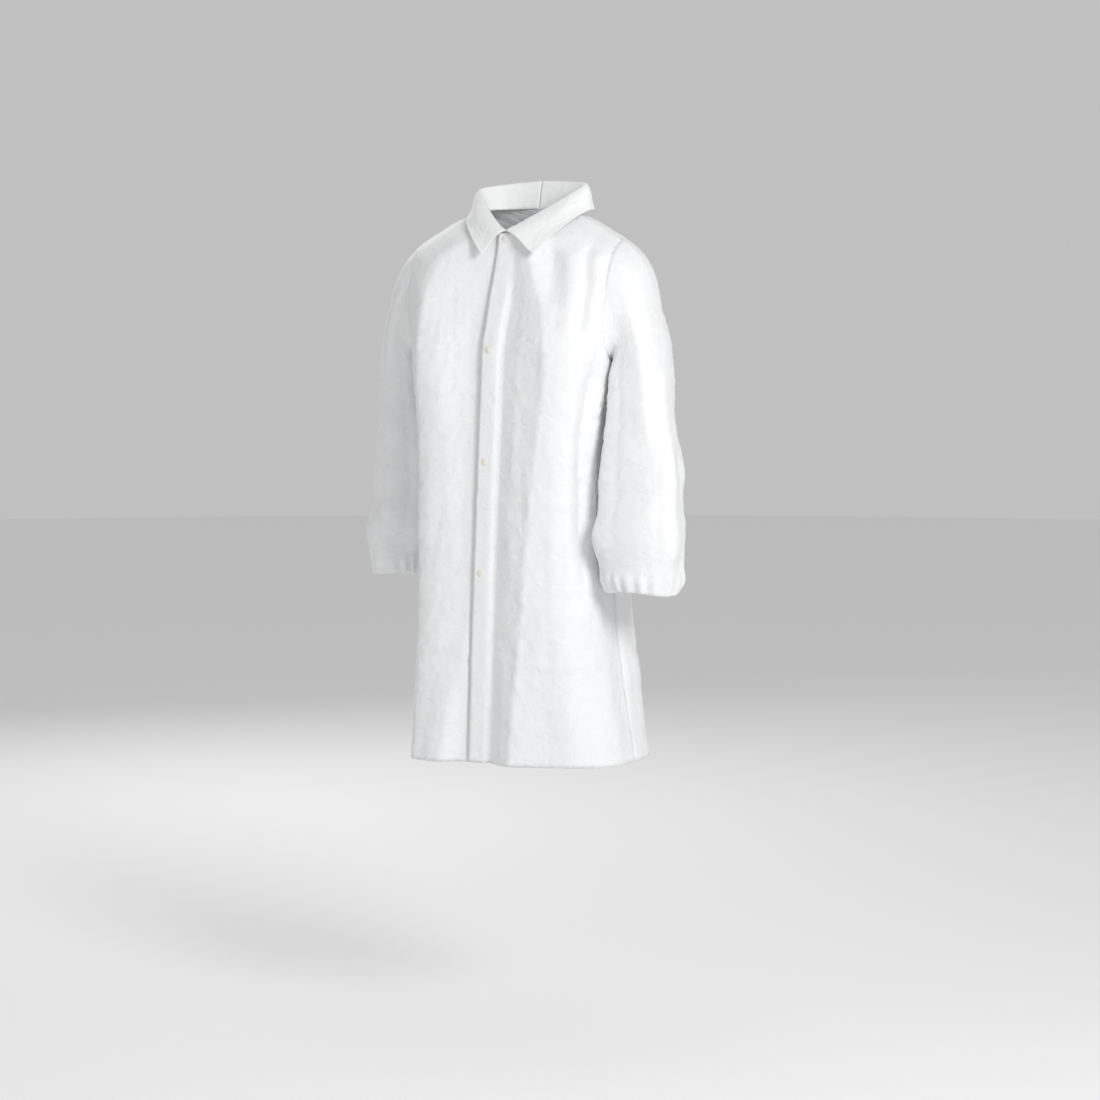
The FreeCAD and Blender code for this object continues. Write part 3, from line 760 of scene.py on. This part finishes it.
# ---------------------------------------------------------------- materials
def nonwoven(name, tone, thin):
    """Spunbond polypropylene: pale and matt, with cloudy density, bond points and crossing fibres.

    thin is the share of the tone left where the cloth is thinnest.
    """
    material = bpy.data.materials.new(name)
    material.use_nodes = True
    nodes, links = material.node_tree.nodes, material.node_tree.links
    nodes.clear()
    output = nodes.new("ShaderNodeOutputMaterial")
    shader = nodes.new("ShaderNodeBsdfPrincipled")
    coordinates = nodes.new("ShaderNodeTexCoord")
    shader.inputs["Roughness"].default_value = 0.62
    shader.inputs["Sheen Weight"].default_value = 0.25
    shader.inputs["Sheen Roughness"].default_value = 0.5
    shader.inputs["Specular IOR Level"].default_value = 0.35
    cloud = nodes.new("ShaderNodeTexNoise")
    cloud.inputs["Scale"].default_value = 55
    cloud.inputs["Detail"].default_value = 6
    cloud.inputs["Roughness"].default_value = 0.65
    links.new(coordinates.outputs["UV"], cloud.inputs["Vector"])
    ramp = nodes.new("ShaderNodeValToRGB")
    ramp.color_ramp.elements[0].position = 0.3
    ramp.color_ramp.elements[1].position = 0.7
    ramp.color_ramp.elements[0].color = (*[c * thin for c in tone], 1)
    ramp.color_ramp.elements[1].color = (*tone, 1)
    links.new(cloud.outputs["Fac"], ramp.inputs["Fac"])
    links.new(ramp.outputs["Color"], shader.inputs["Base Color"])
    fibres = nodes.new("ShaderNodeTexNoise")
    fibres.inputs["Scale"].default_value = 900
    fibres.inputs["Detail"].default_value = 3
    links.new(coordinates.outputs["UV"], fibres.inputs["Vector"])
    dots = nodes.new("ShaderNodeTexVoronoi")
    dots.inputs["Scale"].default_value = 420
    dots.inputs["Randomness"].default_value = 0.25
    links.new(coordinates.outputs["UV"], dots.inputs["Vector"])
    crumple = nodes.new("ShaderNodeTexNoise")
    crumple.inputs["Scale"].default_value = 38
    crumple.inputs["Detail"].default_value = 5
    crumple.inputs["Distortion"].default_value = 0.6
    links.new(coordinates.outputs["UV"], crumple.inputs["Vector"])
    previous = None
    for source, output_name, strength, distance in (
        (crumple, "Fac", 0.5, 0.006),
        (dots, "Distance", 0.12, 0.0004),
        (fibres, "Fac", 0.25, 0.0004),
    ):
        bump = nodes.new("ShaderNodeBump")
        bump.inputs["Strength"].default_value = strength
        bump.inputs["Distance"].default_value = distance
        links.new(source.outputs[output_name], bump.inputs["Height"])
        if previous:
            links.new(previous.outputs["Normal"], bump.inputs["Normal"])
        previous = bump
    links.new(previous.outputs["Normal"], shader.inputs["Normal"])
    links.new(shader.outputs["BSDF"], output.inputs["Surface"])
    return material


def plain(name, tone, roughness, grain, depth):
    """A moulded or spun material with a fine grain; depth is the grain's own."""
    material = bpy.data.materials.new(name)
    material.use_nodes = True
    nodes, links = material.node_tree.nodes, material.node_tree.links
    shader = nodes["Principled BSDF"]
    shader.inputs["Roughness"].default_value = roughness
    coordinates = nodes.new("ShaderNodeTexCoord")
    noise = nodes.new("ShaderNodeTexNoise")
    noise.inputs["Scale"].default_value = grain
    noise.inputs["Detail"].default_value = 4
    links.new(coordinates.outputs["Object"], noise.inputs["Vector"])
    ramp = nodes.new("ShaderNodeValToRGB")
    ramp.color_ramp.elements[0].color = (*[c * 0.93 for c in tone], 1)
    ramp.color_ramp.elements[1].color = (*tone, 1)
    links.new(noise.outputs["Fac"], ramp.inputs["Fac"])
    links.new(ramp.outputs["Color"], shader.inputs["Base Color"])
    bump = nodes.new("ShaderNodeBump")
    bump.inputs["Strength"].default_value = 0.3
    bump.inputs["Distance"].default_value = depth
    links.new(noise.outputs["Fac"], bump.inputs["Height"])
    links.new(bump.outputs["Normal"], shader.inputs["Normal"])
    return material


single_cloth = nonwoven("nonwoven_single", (0.86, 0.868, 0.875), 0.965)
double_cloth = nonwoven("nonwoven_double", (0.89, 0.896, 0.90), 0.98)
snap_plastic = plain("snap_plastic", (0.84, 0.82, 0.75), 0.38, 700, 0.0002)
rubber = plain("elastic_rubber", (0.80, 0.79, 0.75), 0.7, 900, 0.0004)
thread = plain("sewing_thread", (0.86, 0.86, 0.86), 0.6, 2500, 0.0001)

# ---------------------------------------------------------------- facings
FACING_ROWS, FACING_COLUMNS = 150, 9
FACING_INSET = 0.0011  # the facing lies this far behind the front


def at_reach(wanted, level, side):
    """Points of a front's row at the wanted distances from its edge, and the edge's own drop."""
    points, uv = front_row(level, side)
    reach = uv[:, 0] + FRONT_EDGE
    return np.stack([np.interp(wanted, reach, points[:, axis]) for axis in range(3)], axis=-1), uv[0, 1]


def facing(label, side):
    """The doubled edge of a front, folded inside it, following the designed panel."""
    wanted = np.linspace(0.0006, FACING - 0.0004, FACING_COLUMNS)
    rows, uvs = [], []
    for level in np.linspace(0, HEM_DROP, FACING_ROWS):
        row, drop = at_reach(wanted, level, side)
        row[:, 1] += FACING_INSET + 0.0003 * np.sin(90 * drop)
        rows.append(row[::-side])
        uvs.append(np.stack([wanted, np.full(FACING_COLUMNS, drop)], axis=1)[::-side])
    return grid_mesh(f"{label}_facing", rows, uvs)


for label, side in SIDES.items():
    panels[f"{label}_facing"] = facing(label, side)


# ---------------------------------------------------------------- seams
STITCH, STITCH_STEP = 0.0026, 0.0038
THREAD, THREAD_LIFT = 0.00038, 0.0005  # half width, and height of the stitches' ends over the line
SEAM_RADIUS = 0.0007
SHOULDER_FOOT = 0.12  # drop at which the shoulder seam ends
FLANK_TOP = 0.262  # drop at which the side seam starts
EDGE_STITCHES = 0.003  # distance of the stitches from the facing's inner edge


def thread_row(name, line, outward_of):
    """Stitches along a line of points; outward_of gives the direction away from the cloth."""
    line = np.array(line)
    steps = np.r_[0, np.cumsum(np.linalg.norm(np.diff(line, axis=0), axis=1))]
    places = np.arange(STITCH_STEP, steps[-1] - STITCH_STEP, STITCH_STEP)
    verts, faces = [], []

    def at(distance):
        return np.array([np.interp(distance, steps, line[:, axis]) for axis in range(3)])

    for place in places:
        a, b = at(place), at(place + STITCH)
        along = (b - a) / max(np.linalg.norm(b - a), 1e-9)
        out = outward_of(a)
        out = out - along * out.dot(along)
        out /= np.linalg.norm(out)
        wide = np.cross(along, out) * THREAD
        middle = (a + b) / 2 + out * (THREAD_LIFT + 0.00025)
        base = len(verts)
        verts += [a + out * THREAD_LIFT * 0.6, b + out * THREAD_LIFT * 0.6]
        verts += [middle + wide, middle + out * 0.0003, middle - wide, middle - out * 0.0004]
        for k in range(4):
            one, two = base + 2 + k, base + 2 + (k + 1) % 4
            faces += [(base, two, one), (base + 1, one, two)]
    mesh = bpy.data.meshes.new(name)
    mesh.from_pydata([tuple(v) for v in verts], [], faces)
    piece = bpy.data.objects.new(name, mesh)
    bpy.context.collection.objects.link(piece)
    piece.data.materials.append(thread)
    return piece


def seam_ridge(name, line, outward_of):
    """The allowance of a sewn seam: a flattened rib of cloth along the line."""
    line = resample(np.array(line), max(12, int(len(line) * 1.5)))
    along = np.gradient(line, axis=0)
    along /= np.linalg.norm(along, axis=1)[:, None]
    turns = np.linspace(0, FULL_TURN, 8, endpoint=False)
    rows, uvs = [], []
    run = 0.0
    for point, way in zip(line, along):
        out = outward_of(point)
        out = out - way * out.dot(way)
        out /= np.linalg.norm(out)
        wide = np.cross(way, out)
        swell = SEAM_RADIUS * (1 + 0.12 * math.sin(70 * run) * math.sin(23 * run))
        rise, spread = 0.7 * swell, 1.7 * swell
        rows.append([point + out * (rise * math.sin(a)) + wide * (spread * math.cos(a)) for a in turns])
        run += 0.004
        uvs.append([(a * 0.001, run) for a in turns])
    piece = grid_mesh(name, rows, uvs, closed=True)
    piece.data.materials.append(single_cloth)
    return piece


def from_axis(point):
    out = np.array([point[0], point[1], 0.0])
    return out / np.linalg.norm(out)


def from_armhole(point):
    return np.array([0.0, point[1], point[2] + ARMHOLE_DROP])


def above(point):
    return np.array([0.15 * np.sign(point[0]), 0.0, 1.0])


def ahead(point):
    return np.array([0.0, -1.0, 0.0])


body_seams, front_seams = [], {}
for label, side in SIDES.items():
    ring = armhole_ring(side)
    join = [front_row(level, side)[0][-1] for level in levels]
    shoulder = [p for p in join if abs(p[0]) < ARMHOLE_SIDE and p[2] > -SHOULDER_FOOT]
    flank = [p for p in join if p[2] < -FLANK_TOP]
    body_seams += [
        seam_ridge(f"{label}_armhole_seam", np.r_[ring, ring[:1]], from_armhole),
        seam_ridge(f"{label}_shoulder_seam", shoulder, above),
        seam_ridge(f"{label}_side_seam", flank, from_axis),
        thread_row(f"{label}_shoulder_stitches", np.array(shoulder) + (0, -0.004, 0), above),
    ]
    line = [at_reach(FACING - EDGE_STITCHES, level, side)[0] for level in levels[2:]]
    front_seams[label] = thread_row(f"{label}_edge_stitches", line, ahead)

# ---------------------------------------------------------------- cuffs
CASING_TURNS = 144
CASING_TOP, CASING_FOOT = -0.5985, -0.6115
CASING_INSIDE, CASING_LIPS = 0.0333, 0.0388
CASING_PROFILE = [
    # radius and height, from the upper lip down the inside to the lower lip
    (CASING_LIPS, CASING_TOP),
    (0.0366, CASING_TOP + 0.0008),
    (0.0340, CASING_TOP),
    (0.0335, -0.602),
    (0.0334, -0.605),
    (0.0335, -0.608),
    (0.0341, CASING_FOOT),
    (0.0368, CASING_FOOT - 0.0008),
    (CASING_LIPS, CASING_FOOT),
]


def casing(label, side):
    """The gathered tunnel that holds the cuff's elastic, open on the outside."""
    cuff_x, cuff_y = CUFF_PLACE[side]
    turns = np.linspace(0, FULL_TURN, CASING_TURNS, endpoint=False)
    gather = 0.5 + 0.5 * np.sin(24 * turns + 1.3 * np.sin(5 * turns))
    wave = 0.0006 * np.sin(12 * turns)
    rows, uvs = [], []
    for k, (radius, level) in enumerate(CASING_PROFILE):
        reach = radius + 0.0022 * gather * (radius - CASING_INSIDE) / (CASING_LIPS - CASING_INSIDE)
        x, y = side * cuff_x + side * reach * np.cos(turns), cuff_y - reach * np.sin(turns)
        rows.append(np.stack([x, y, level + wave], axis=1))
        uvs.append(np.stack([turns * WRIST, np.full(CASING_TURNS, k * 0.004)], axis=1))
    if side == -1:
        rows, uvs = [r[::-1] for r in rows], [u[::-1] for u in uvs]
    return grid_mesh(f"{label}_cuff", rows, uvs, closed=True)


for label, side in SIDES.items():
    panels[f"{label}_cuff"] = casing(label, side)


for piece in [panels["back"], *body_seams]:
    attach(piece, "torso")
for label, side in SIDES.items():
    for piece in [panels[f"{label}_{part}"] for part in ("front", "collar", "facing")] + [front_seams[label]]:
        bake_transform(piece)
    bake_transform(panels[f"{label}_sleeve"])
    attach(panels[f"{label}_cuff"], f"{label}_arm")

REPLACED = {
    "back": ["back_panel"],
    "left_front": ["left_front_side", "left_front_flap"],
    "right_front": ["right_front_side", "right_front_flap"],
    "left_facing": ["left_front_facing"],
    "right_facing": ["right_front_facing"],
    "left_collar": ["collar", "left_collar_leaf"],
    "right_collar": ["right_collar_leaf"],
    "left_sleeve": ["left_sleeve"],
    "right_sleeve": ["right_sleeve"],
    "left_cuff": ["left_cuff_casing"],
    "right_cuff": ["right_cuff_casing"],
}
# Each panel gets its thickness and its cloth, doubled or single, and the model's parts it replaces are
# hidden.
DOUBLED = ("collar", "facing", "cuff")
for key, piece in panels.items():
    kind = key.split("_")[-1]
    thicken(piece)
    piece.data.materials.append(double_cloth if kind in DOUBLED else single_cloth)
    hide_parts(*REPLACED[key])

for name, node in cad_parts.items():
    if "snap" in name or "elastic" in name:
        node.data.materials.clear()
        node.data.materials.append(rubber if "elastic" in name else snap_plastic)
        node.data.polygons.foreach_set("use_smooth", [False] * len(node.data.polygons))

# ---------------------------------------------------------------- stage, light and camera
FLOOR_DROP, FLOOR_RADIUS = 1.41, 14  # the floor under a standing wearer's feet
PICTURE_WIDTH = 1.8425  # metres across the picture at the coat
AZIMUTH, DISTANCE = 24, 5.0
AIM_SIDE, AIM_DROP = 0.045, 0.5695  # what the camera looks at, to the picture's right and down
CAMERA_RISE = 0.38  # the camera's height above that
SKY = 0.53
LIGHTS = {
    # place, drop of the point aimed at, size, power
    "key": ((2.7, -2.0, 1.0), 0.4, 1.2, 70),
    "fill": ((-2.6, -3.0, 0.4), 0.5, 2.6, 6),
    "back": ((-2.4, 2.6, 1.2), 0.4, 1.6, 38),
}


def turn_towards(thing, target):
    thing.rotation_euler = (target - thing.location).to_track_quat("-Z", "Y").to_euler()


def area_light(name, place, aim_drop, size, power):
    light = bpy.data.lights.new(name, "AREA")
    light.shape = "DISK"
    light.size = size
    light.energy = power
    lamp = bpy.data.objects.new(name, light)
    bpy.context.collection.objects.link(lamp)
    lamp.location = place
    turn_towards(lamp, Vector((0, 0, -aim_drop)))


def stage():
    bpy.ops.mesh.primitive_circle_add(
        vertices=96, radius=FLOOR_RADIUS, fill_type="NGON", location=(0, 0, -FLOOR_DROP)
    )
    floor = bpy.context.object
    floor.name = "floor"
    paint = bpy.data.materials.new("pale_floor")
    paint.use_nodes = True
    shader = paint.node_tree.nodes["Principled BSDF"]
    shader.inputs["Base Color"].default_value = (0.93, 0.93, 0.93, 1)
    shader.inputs["Roughness"].default_value = 0.9
    floor.data.materials.append(paint)
    world = bpy.data.worlds.new("studio")
    world.use_nodes = True
    sky = world.node_tree.nodes["Background"]
    sky.inputs["Color"].default_value = (1, 1, 1, 1)
    sky.inputs["Strength"].default_value = SKY
    bpy.context.scene.world = world
    for name, light in LIGHTS.items():
        area_light(name, *light)


def camera():
    turn = math.radians(AZIMUTH)
    right = Vector((math.cos(turn), math.sin(turn), 0))
    nearer = Vector((math.sin(turn), -math.cos(turn), 0))
    target = right * AIM_SIDE + Vector((0, 0, -AIM_DROP))
    lens = bpy.data.cameras.new("camera")
    lens.sensor_width = 36
    lens.lens = 36 * DISTANCE / PICTURE_WIDTH
    view = bpy.data.objects.new("camera", lens)
    bpy.context.collection.objects.link(view)
    view.location = target + nearer * DISTANCE + Vector((0, 0, CAMERA_RISE))
    turn_towards(view, target)
    bpy.context.scene.camera = view


stage()
camera()
bpy.context.scene.view_settings.view_transform = "Standard"
